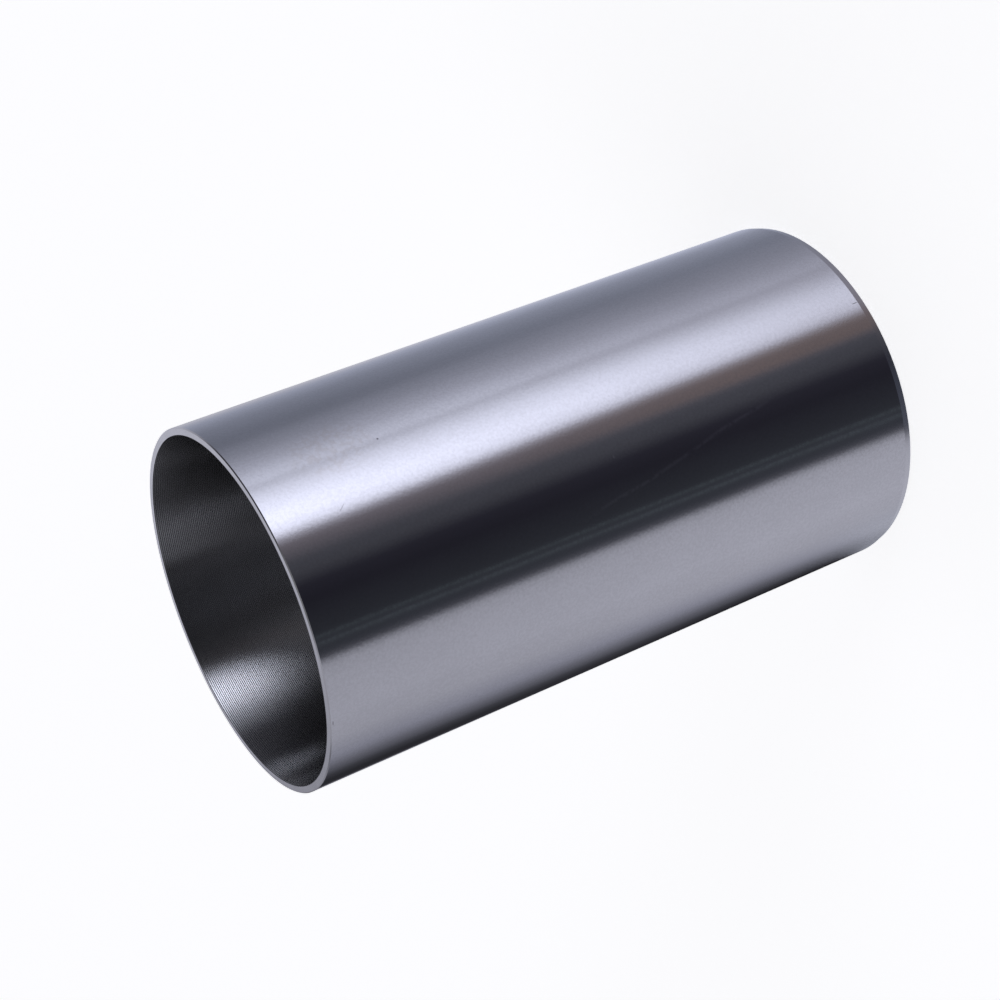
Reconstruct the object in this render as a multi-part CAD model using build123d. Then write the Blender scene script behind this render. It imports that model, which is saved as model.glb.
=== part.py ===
from build123d import *

import os
from math import radians, tan

# A flangeless dry cylinder liner: one thin sleeve of grey cast iron, turned to length, bored and ground outside.
# It stands on the end that goes into the engine block first. +Z runs up the bore to the deck end, and the origin
# is the centre of the bottom face. Sizes are in millimetres.

# The sleeve
outer_diameter = 92.5   # ground outside, pressed into the block
bore_diameter = 88.9    # semi-finished bore, which is bored and honed to size in the block
liner_length = 170.0    # bottom face to deck face

# The lead-in round the bottom end, which centres the liner as it is pressed in
lead_in_length = 2.0    # along the axis
lead_in_angle = 15.0    # from the axis, in degrees

# The break on the deck end's outer edge, at 45 degrees
edge_break = 0.25

outer_radius = outer_diameter / 2
bore_radius = bore_diameter / 2
lead_in_depth = lead_in_length * tan(radians(lead_in_angle))

# The wall's section, drawn once on the +X side and turned about the bore axis
with BuildPart() as liner:
    with BuildSketch(Plane.XZ):
        with BuildLine():
            bottom_face = Line((bore_radius, 0), (outer_radius - lead_in_depth, 0))
            lead_in = Line(bottom_face @ 1, (outer_radius, lead_in_length))
            ground_wall = Line(lead_in @ 1, (outer_radius, liner_length - edge_break))
            deck_edge = Line(ground_wall @ 1, (outer_radius - edge_break, liner_length))
            deck_face = Line(deck_edge @ 1, (bore_radius, liner_length))
            bore_wall = Line(deck_face @ 1, bottom_face @ 0)
        make_face()
    revolve(axis=Axis.Z)

os.makedirs("parts", exist_ok=True)
export_step(liner.part, "parts/cylinder_liner.step")
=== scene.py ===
import math

import bmesh
import bpy
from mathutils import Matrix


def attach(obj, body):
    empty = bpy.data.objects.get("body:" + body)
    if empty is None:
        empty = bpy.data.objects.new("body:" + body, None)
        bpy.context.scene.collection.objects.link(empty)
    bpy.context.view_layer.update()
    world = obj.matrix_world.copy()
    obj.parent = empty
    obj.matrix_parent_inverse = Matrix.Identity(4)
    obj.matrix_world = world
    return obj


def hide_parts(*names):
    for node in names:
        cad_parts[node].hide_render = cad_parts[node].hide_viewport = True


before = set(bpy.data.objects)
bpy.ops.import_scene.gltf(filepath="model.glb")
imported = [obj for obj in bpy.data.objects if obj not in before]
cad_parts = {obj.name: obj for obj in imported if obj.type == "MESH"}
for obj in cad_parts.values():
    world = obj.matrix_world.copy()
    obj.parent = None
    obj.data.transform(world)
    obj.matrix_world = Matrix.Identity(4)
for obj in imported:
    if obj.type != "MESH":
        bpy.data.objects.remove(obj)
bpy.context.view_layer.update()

# The liner: one thin sleeve of grey cast iron, turned to length on both ends, rough bored inside and ground
# bright outside. Nothing is fixed to it, and it stands free on the end with the lead-in taper.
outer_radius = 0.04625
bore_radius = 0.04445
liner_length = 0.170
lead_in_length = 0.002
lead_in_angle = math.radians(15)
edge_break = 0.00025
boring_feed = 0.0005        # the boring bar's travel in one turn
boring_mark_depth = 0.000085
boring_mark_flank = 0.6     # share of each mark that faces up to the deck end
steps_round = 128
tiny = 1e-6                 # shorter than any real size here

# The wall's section is drawn on the +X side, cut into boring marks along the bore and turned about the axis.
lead_in_depth = lead_in_length * math.tan(lead_in_angle)
section = bmesh.new()
corners = [section.verts.new((radius, 0, height)) for radius, height in (
    (bore_radius, 0),
    (outer_radius - lead_in_depth, 0),
    (outer_radius, lead_in_length),
    (outer_radius, liner_length - edge_break),
    (outer_radius - edge_break, liner_length),
    (bore_radius, liner_length),
)]
for start, end in zip(corners[:-1], corners[1:]):
    section.edges.new((start, end))
bore_line = section.edges.new((corners[0], corners[-1]))
boring_marks = round(liner_length / boring_feed)
bmesh.ops.subdivide_edges(section, edges=[bore_line], cuts=boring_marks - 1)
bore_steps = [e for e in section.edges if all(abs(v.co.x - bore_radius) < tiny for v in e.verts)]
for step in bore_steps:
    lower = min(step.verts, key=lambda v: v.co.z)
    root = bmesh.utils.edge_split(step, lower, boring_mark_flank)[1]
    root.co.x += boring_mark_depth
bmesh.ops.spin(
    section, geom=section.verts[:] + section.edges[:], cent=(0, 0, 0), axis=(0, 0, 1),
    angle=math.tau, steps=steps_round, use_merge=True,
)
bmesh.ops.remove_doubles(section, verts=section.verts[:], dist=tiny)
bmesh.ops.recalc_face_normals(section, faces=section.faces[:])

GROUND, LEAD_IN, TURNED, BORED = range(4)
end_slope = 0.6             # the end faces and the edge break face up or down by more than this
bore_limit = bore_radius + 2 * boring_mark_depth
middle_radius = (outer_radius + bore_radius) / 2
for face in section.faces:
    face.smooth = True
    middle = face.calc_center_median()
    if abs(face.normal.z) > end_slope and middle.xy.length > bore_limit:
        face.material_index = TURNED
    elif middle.xy.length < middle_radius:
        face.material_index = BORED
    elif middle.z < lead_in_length:
        face.material_index = LEAD_IN
    else:
        face.material_index = GROUND
for edge in section.edges:
    edge.smooth = abs(edge.verts[0].co.z - edge.verts[1].co.z) > tiny

# Every surface unrolled side by side on one map, slit at the back, so that baked maps hold the boring marks.
# Strips run up the map: the bore, the ground wall, the lead-in, then the bottom and deck ends.
map_margin = 0.004
map_span = 1 - 2 * map_margin
bore_strip_end, bore_strip_width = 0.205, 0.200
wall_strip_start, wall_strip_width = 0.215, 0.695
lead_in_strip_end, lead_in_strip_width = 0.935, 0.014
between_ends, end_strip_gap, end_strip_width = 0.970, 0.005, 0.020
unrolled = section.loops.layers.uv.new("OFBake")
for face in section.faces:
    middle = face.calc_center_median()
    for corner in face.loops:
        point = corner.vert.co
        angle = math.atan2(point.x, -point.y)
        if angle * middle.x < 0 and middle.y > 0:
            angle = -angle
        along = 0.5 + map_span * angle / math.tau
        up = map_margin + map_span * point.z / liner_length
        side = 1 if point.z > liner_length / 2 else -1
        across = (point.xy.length - bore_radius) / (outer_radius - bore_radius)
        corner[unrolled].uv = {
            GROUND: (wall_strip_start + wall_strip_width * along, up),
            LEAD_IN: (lead_in_strip_end - lead_in_strip_width * point.z / lead_in_length, along),
            TURNED: (between_ends + side * (end_strip_gap + end_strip_width * across), along),
            BORED: (bore_strip_end - bore_strip_width * along, up),
        }[face.material_index]
liner_mesh = bpy.data.meshes.new("liner")
section.to_mesh(liner_mesh)
section.free()
liner = bpy.data.objects.new("liner", liner_mesh)
bpy.context.collection.objects.link(liner)


class Shade:
    """A value in a node tree. Arithmetic on it adds Math nodes, and node() adds any other kind."""

    def __init__(self, tree, socket=None):
        self.tree = tree
        self.socket = socket

    def node(self, kind, settings=None, sockets=None, output=0):
        made = self.tree.nodes.new(kind)
        for name, setting in (settings or {}).items():
            if name == "stops":
                ramp = made.color_ramp
                while len(ramp.elements) < len(setting):
                    ramp.elements.new(0.5)
                for element, (position, colour) in zip(ramp.elements, setting):
                    element.position = position
                    element.color = colour
            else:
                setattr(made, name, setting)
        for name, given in (sockets or {}).items():
            if isinstance(given, Shade):
                self.tree.links.new(given.socket, made.inputs[name])
            else:
                made.inputs[name].default_value = given
        return Shade(self.tree, made.outputs[output] if made.outputs else None)

    def maths(self, operation, *others):
        return self.node("ShaderNodeMath", {"operation": operation}, dict(enumerate((self, *others))))

    def __add__(self, other):
        return self.maths("ADD", other)

    def __sub__(self, other):
        return self.maths("SUBTRACT", other)

    def __rsub__(self, other):
        return self.node("ShaderNodeMath", {"operation": "SUBTRACT"}, {0: other, 1: self})

    def __mul__(self, other):
        return self.maths("MULTIPLY", other)

    __radd__ = __add__
    __rmul__ = __mul__

    def part(self, name):
        return self.node("ShaderNodeSeparateXYZ", None, {0: self}, name)

    def rise(self, low, high):
        """0 below low, 1 above high, with a soft step between; falls where low is the larger."""
        return self.node(
            "ShaderNodeMapRange", {"interpolation_type": "SMOOTHSTEP"},
            {"Value": self, "From Min": low, "From Max": high},
        )

    def grain(self, sizes, detail=2.0):
        """Noise whose grains have the given sizes in metres along X, Y and Z."""
        scaled = self.node(
            "ShaderNodeMapping", None, {"Vector": self, "Scale": tuple(1 / size for size in sizes)},
        )
        return self.node("ShaderNodeTexNoise", None, {"Vector": scaled, "Scale": 1.0, "Detail": detail})

    def mix(self, first, second):
        """The first colour where this value is 0 and the second where it is 1."""
        return self.node("ShaderNodeMix", {"data_type": "RGBA"}, {0: self, 6: first, 7: second}, 2)


def new_finish(name):
    """Adds a material to the liner and gives the place of a point on it."""
    material = bpy.data.materials.new(name)
    material.use_nodes = True
    material.node_tree.nodes.clear()
    liner_mesh.materials.append(material)
    return Shade(material.node_tree).node("ShaderNodeTexCoord", output="Object")


def iron_surface(place, colour, roughness, relief, relief_height, brushed=0.0):
    """Bare iron. Brushed is how far the marks round the liner spread a highlight up and down it."""
    normal = place.node("ShaderNodeBump", None, {"Height": relief, "Distance": relief_height})
    surface = place.node("ShaderNodeBsdfPrincipled", None, {
        "Base Color": colour, "Metallic": 1.0, "Roughness": roughness, "Normal": normal,
        "Anisotropic": brushed, "Anisotropic Rotation": 0.25,
    })
    place.node("ShaderNodeOutputMaterial", None, {"Surface": surface})


# Ground outside: bright iron with a fine even grain and faint wheel marks round it. Handling has left a
# hairline scratch across the front, a mottled patch and a speck near the deck end, and small nicks towards
# both ends.
iron = (0.588, 0.593, 0.618, 1)
iron_dull = (0.548, 0.552, 0.574, 1)
iron_stained = (0.500, 0.480, 0.470, 1)
iron_pitted = (0.090, 0.085, 0.085, 1)
iron_scratched = (0.95, 0.96, 0.98, 1)
ground_relief = 0.000005
place = new_finish("ground_iron")
up_wall = place.part("Z")
round_wall = place.part("X").maths("ARCTAN2", -1 * place.part("Y")) * outer_radius
wheel_marks = place.grain((0.02, 0.02, 0.0003))
fine_grain = place.grain((0.0007, 0.0007, 0.0007), detail=3.0)
clouds = place.grain((0.012, 0.012, 0.020), detail=4.0)
mottle = place.grain((0.0013, 0.0013, 0.0013), detail=3.0)


def oval(degrees, middle_up, half_width, half_height, lean=0.0):
    """1 in the middle of an oval on the wall, at this angle and height, fading to 0 at its edge."""
    from_middle = up_wall - middle_up
    across = (round_wall - math.radians(degrees) * outer_radius - lean * from_middle) * (1 / half_width)
    along = from_middle * (1 / half_height)
    return (across * across + along * along).rise(1.0, 0.3)


scratch_lean = -0.188               # round the wall for each unit up it
scratch_crossing = 0.0435           # the height where it crosses the front
scratch_half_width = 0.00080
scratch_wander = 0.0010
scratch_bottom = (0.036, 0.046)     # the heights between which each end fades
scratch_top = (0.100, 0.085)
wander = place.grain((0.012, 0.012, 0.012), detail=0.0)
scratch_line = round_wall - scratch_lean * (up_wall - scratch_crossing) + scratch_wander * (wander - 0.5)
scratch = scratch_line.maths("ABSOLUTE").rise(scratch_half_width, 0.0) * mottle.rise(0.30, 0.60)
scratch_spot = oval(1.9, 0.0847, 0.0005, 0.0003)
scratch = scratch * up_wall.rise(*scratch_bottom) * up_wall.rise(*scratch_top) + scratch_spot
stain = oval(35.5, 0.147, 0.0085, 0.0125) * mottle.rise(0.42, 0.62)
deck_speck = oval(32.8, 0.1360, 0.00026, 0.00026)
lead_in_nick = oval(19.6, 0.0029, 0.00013, 0.0010)
slanted_nick = oval(16.4, 0.1524, 0.00020, 0.0011, lean=-0.75)
deck_nick = oval(-42.2, 0.1693, 0.00080, 0.00022)
pits = deck_speck + 0.8 * lead_in_nick + 0.35 * slanted_nick + 0.4 * deck_nick
wall_colour = (0.7 * fine_grain + 0.3 * clouds).rise(0.35, 0.65).mix(iron, iron_dull)
wall_colour = (0.45 * stain).mix(wall_colour, iron_stained)
wall_colour = (0.48 * scratch).mix(wall_colour, iron_scratched)
iron_surface(
    place,
    colour=pits.mix(wall_colour, iron_pitted),
    roughness=0.035 + 0.16 * fine_grain + 0.06 * scratch + 0.03 * stain,
    relief=0.2 * wheel_marks + fine_grain,
    relief_height=ground_relief,
    brushed=0.7,
)

# Lead-in: the taper round the lower end, which centres the liner in the block. It is turned with a fine
# feed, and the tool's marks run round it.
lead_in_relief = 0.000003
place = new_finish("turned_lead_in")
tool_marks = place.grain((0.03, 0.03, 0.00012))
clouds = place.grain((0.008, 0.008, 0.008), detail=4.0)
iron_surface(
    place,
    colour=clouds.rise(0.35, 0.75).mix(iron, iron_dull),
    roughness=0.15 + 0.06 * tool_marks,
    relief=tool_marks,
    relief_height=lead_in_relief,
)

# Turned ends: the deck face with its broken edge, and the bottom face. Both are faced across on the lathe,
# which leaves fine rings about the bore.
rings_to_a_metre = 9000.0
ends_relief = 0.000002
place = new_finish("turned_ends")
from_axis = (place.part("X") * place.part("X") + place.part("Y") * place.part("Y")).maths("SQRT")
rings = place.node(
    "ShaderNodeTexNoise", {"noise_dimensions": "1D"}, {"W": from_axis, "Scale": rings_to_a_metre},
)
clouds = place.grain((0.006, 0.006, 0.006), detail=4.0)
iron_surface(
    place,
    colour=clouds.rise(0.35, 0.75).mix(iron, iron_dull),
    roughness=0.13 + 0.06 * rings,
    relief=rings,
    relief_height=ends_relief,
)

# Bored inside: the boring bar's marks stand in the mesh, and the grain of the iron is torn along them. The
# root of each mark, on the side that faces down the bore, is painted dark as painted shade.
iron_bored = (0.540, 0.545, 0.550, 1)
iron_torn = (0.490, 0.490, 0.492, 1)
# painted shade for the down-facing flank of each boring mark, not a colour of the iron
painted_shade_in_roots = (0.200, 0.200, 0.200, 1)
bored_relief = 0.000002
place = new_finish("bored_iron")
torn_grain = place.grain((0.0080, 0.0080, 0.00025), detail=3.0)
clouds = place.grain((0.015, 0.015, 0.010), detail=4.0)
# Mask of the painted shade: the flank of each mark that faces down the bore, between root and next crest.
across_mark = (place.part("Z") * (1 / boring_feed)).maths("FRACT")
painted_root_mask = across_mark.rise(0.42, 0.66) * across_mark.rise(1.04, 0.88)
iron_surface(
    place,
    colour=painted_root_mask.mix(clouds.rise(0.35, 0.75).mix(iron_bored, iron_torn), painted_shade_in_roots),
    roughness=0.20 + 0.06 * torn_grain,
    relief=torn_grain,
    relief_height=bored_relief,
    brushed=0.9,
)

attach(liner, "root")
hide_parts("cylinder_liner")

# The floor: a plain white sheet that the liner stands on, a hair below it so that the two faces don't meet.
# It stays out of the iron's reflections, because the bright wall shows the studio round it there.
floor_reach = 6.0
floor_drop = 0.0001
sheet_white = (0.90, 0.90, 0.90, 1)
sheet_glow = 0.78
floor_shape = bmesh.new()
bmesh.ops.create_grid(floor_shape, x_segments=1, y_segments=1, size=floor_reach)
bmesh.ops.translate(floor_shape, verts=floor_shape.verts[:], vec=(0, 0, -floor_drop))
floor_mesh = bpy.data.meshes.new("floor")
floor_shape.to_mesh(floor_mesh)
floor_shape.free()
floor = bpy.data.objects.new("floor", floor_mesh)
bpy.context.collection.objects.link(floor)
floor.visible_glossy = False
white_sheet = bpy.data.materials.new("white_sheet")
white_sheet.use_nodes = True
sheet = white_sheet.node_tree.nodes["Principled BSDF"]
sheet.inputs["Base Color"].default_value = sheet_white
sheet.inputs["Roughness"].default_value = 0.9
sheet.inputs["Specular IOR Level"].default_value = 0.0
sheet.inputs["Emission Color"].default_value = (1, 1, 1, 1)
sheet.inputs["Emission Strength"].default_value = sheet_glow
floor_mesh.materials.append(white_sheet)

# The studio: soft cards all round the liner, which its bright wall mirrors. Low down, a pale card stands on
# the left, a dark gap with two slats in front and a grey wall on the right, with a tall softbox before it.
# Each card is given by degrees round from the front, to the right, by its brightness and by its tint.
white_card = (0.88, 0.88, 1.0)
blue_card = (0.825, 0.83, 1.0)
sky_card = (0.755, 0.80, 1.0)
slat = (0.75, 0.89, 1.0)
dark_cloth = (0.73, 0.70, 1.0)
warm_card = (0.96, 0.87, 1.0)
softbox_cloth = (0.828, 0.855, 1.0)
low_light = (
    (-180, 0.58, white_card),
    (-171, 0.036, blue_card),
    (-158, 0.036, blue_card),
    (-148, 0.077, blue_card),
    (-136, 0.23, blue_card),
    (-124, 0.45, blue_card),
    (-106, 0.60, white_card),
    (-86, 0.66, white_card),
    (-62, 0.62, white_card),
    (-53, 0.57, white_card),
    (-49.5, 0.475, white_card),
    (-45.5, 0.115, blue_card),
    (-42, 0.07, sky_card),
    (-38.1, 0.06, sky_card),
    (-37.1, 0.16, slat),
    (-36.1, 0.06, sky_card),
    (-33.3, 0.058, sky_card),
    (-32.5, 0.106, slat),
    (-31.7, 0.052, sky_card),
    (-28, 0.046, sky_card),
    (-9, 0.031, dark_cloth),
    (0, 0.04, dark_cloth),
    (8, 0.09, blue_card),
    (15, 0.106, blue_card),
    (24, 0.19, warm_card),
    (30, 0.26, warm_card),
    (118, 0.35, sky_card),
    (138, 0.46, sky_card),
    (156, 0.65, sky_card),
    (174, 0.79, white_card),
    (180, 0.58, white_card),
)
high_light = (
    (-180, 0.65, white_card),
    (-174.5, 0.41, white_card),
    (-165, 0.365, white_card),
    (-142, 0.41, white_card),
    (-118, 0.16, white_card),
    (-90, 0.115, white_card),
    (-66, 0.24, white_card),
    (-49, 0.215, white_card),
    (-42, 0.03, blue_card),
    (21, 0.024, blue_card),
    (30, 0.12, blue_card),
    (118, 0.155, blue_card),
    (142, 0.63, white_card),
    (165, 0.725, white_card),
    (174.5, 0.725, white_card),
    (180, 0.65, white_card),
)
softbox_light = [(degrees, brightness, softbox_cloth) for degrees, brightness in (
    (27, 0),
    (30.5, 0.21),
    (33.5, 0.86),
    (36.5, 1.36),
    (42, 1.65),
    (48, 1.63),
    (56, 1.34),
    (64, 0.96),
    (69.5, 0.635),
    (73.5, 0.765),
    (79, 0.615),
    (86, 0.385),
    (98, 0.147),
    (112, 0),
)]
behind_light = (0.56, 0.572, 0.655, 1)
behind_dim = (0.355, 0.368, 0.435, 1)
foot_light = (0.11, 0.122, 0.165, 1)
warm_light = (0.205, 0.157, 0.150, 1)
below_light = (0.36, 0.36, 0.40, 1)
dark_above = (0.05, 0.05, 0.055, 1)
pale_above = (0.46, 0.46, 0.51, 1)
overhead_light = (0.35, 0.35, 0.36, 1)
world = bpy.data.worlds.new("studio")
world.use_nodes = True
world.node_tree.nodes.clear()
bpy.context.scene.world = world
direction = Shade(world.node_tree).node("ShaderNodeTexCoord", output="Generated")
to_right, to_back, height = (direction.part(axis) for axis in "XYZ")
round_angle = to_right.maths("ARCTAN2", -1 * to_back) * math.degrees(1)


def cards(stops, angle):
    return direction.node(
        "ShaderNodeValToRGB",
        {"stops": [
            ((degrees + 180) / 360, (*[brightness * share for share in tint], 1))
            for degrees, brightness, tint in stops
        ]},
        {"Fac": angle * (1 / 360) + 0.5},
    )


def brighter(light, amount):
    return direction.node("ShaderNodeVectorMath", {"operation": "SCALE"}, {0: light, "Scale": amount})


# The low cards lean outwards towards the floor. The pale one dims low down at its far left edge, and the
# grey wall is a little darker higher up, at the back on the right.
lean_low = 1.559 + 0.453 * height.maths("MINIMUM", -0.35) + 0.63 * height.maths("MINIMUM", -0.55)
low_angle = round_angle * lean_low
far_left = height.rise(-0.42, -0.53) * low_angle.rise(-112, -142)
upper_right = height.rise(-0.47, -0.34) * low_angle.rise(100, 125)
low_fade = 1.045 - 0.14 * height.rise(-0.60, -0.30)
low = brighter(cards(low_light, low_angle), low_fade * (1 - 0.36 * far_left) * (1 - 0.12 * upper_right))

# Lower still, a second pale card shows at the back on the left, a warm patch lies between the dark gap and
# the softbox, and a little light comes in at the foot of the gap.
back_left = height.rise(-0.5415, -0.5545) * low_angle.rise(-95, -120)
low = back_left.mix(low, low_angle.rise(-150, -115).mix(behind_dim, behind_light))
warm_patch = height.rise(-0.40, -0.54) * low_angle.rise(16, 22) * low_angle.rise(35, 28)
low = (0.8 * warm_patch).mix(low, warm_light)
gap_foot = height.rise(-0.74, -0.86) * low_angle.rise(-48, -40) * low_angle.rise(12, -22)
low = (0.5 * gap_foot).mix(low, foot_light)
surround = height.rise(-0.15, 0.10).mix(low, cards(high_light, round_angle))

# The softbox fades towards the floor and the ceiling, and dims low down on its right. Above the liner's
# mouth two flags narrow it, and it is brighter between them.
above_mouth = height.rise(-0.02, 0.05)
lean_high = 0.10 + 0.096 * above_mouth - height.maths("MAXIMUM", 0.10)
low_right = height.rise(-0.40, -0.53) * round_angle.rise(54, 70)
far_flag = round_angle.rise(84, 45)
near_flag = (round_angle - 91.7 * height.maths("MAXIMUM", 0.10)).rise(4.6, 17.2)
softbox_fade = (0.06 + 0.98 * height.rise(-0.85, -0.26)) * height.rise(0.45, 0.10)
softbox = brighter(
    cards(softbox_light, round_angle * (lean_low + lean_high)),
    softbox_fade * (1 - 0.20 * low_right) * (1 + above_mouth * (2.8 * far_flag * near_flag - 1)),
)
light = direction.node("ShaderNodeVectorMath", {"operation": "ADD"}, {0: surround, 1: softbox})

# Straight below it is pale behind the liner. High up it is pale at the back on the left and dark elsewhere,
# with a plain light overhead.
light = (height.rise(-0.90, -0.95) * to_back.rise(-0.25, -0.05)).mix(light, below_light)
above = (to_right.rise(-0.10, -0.50) * to_back.rise(-0.60, -0.20)).mix(dark_above, pale_above)
light = height.rise(0.45, 0.62).mix(light, above)
light = height.rise(0.90, 0.96).mix(light, overhead_light)
background = direction.node("ShaderNodeBackground", None, {"Color": light, "Strength": 1.0})
direction.node("ShaderNodeOutputWorld", None, {"Surface": background})

# The camera: a long lens in front of the liner, looking down past the deck end. It is rolled over, so that
# the standing liner lies across the picture at the photograph's slant.
camera_place = (0, -0.5003, 0.33056)
camera_turns = (-37.65, 57.39, -132.715)
camera_data = bpy.data.cameras.new("camera")
camera_data.lens = 78.9
camera_data.sensor_width = 36.0
camera_data.sensor_fit = "HORIZONTAL"
camera = bpy.data.objects.new("camera", camera_data)
camera.location = camera_place
camera.rotation_euler = [math.radians(turn) for turn in camera_turns]
bpy.context.collection.objects.link(camera)
bpy.context.scene.camera = camera
bpy.context.scene.view_settings.view_transform = "Standard"
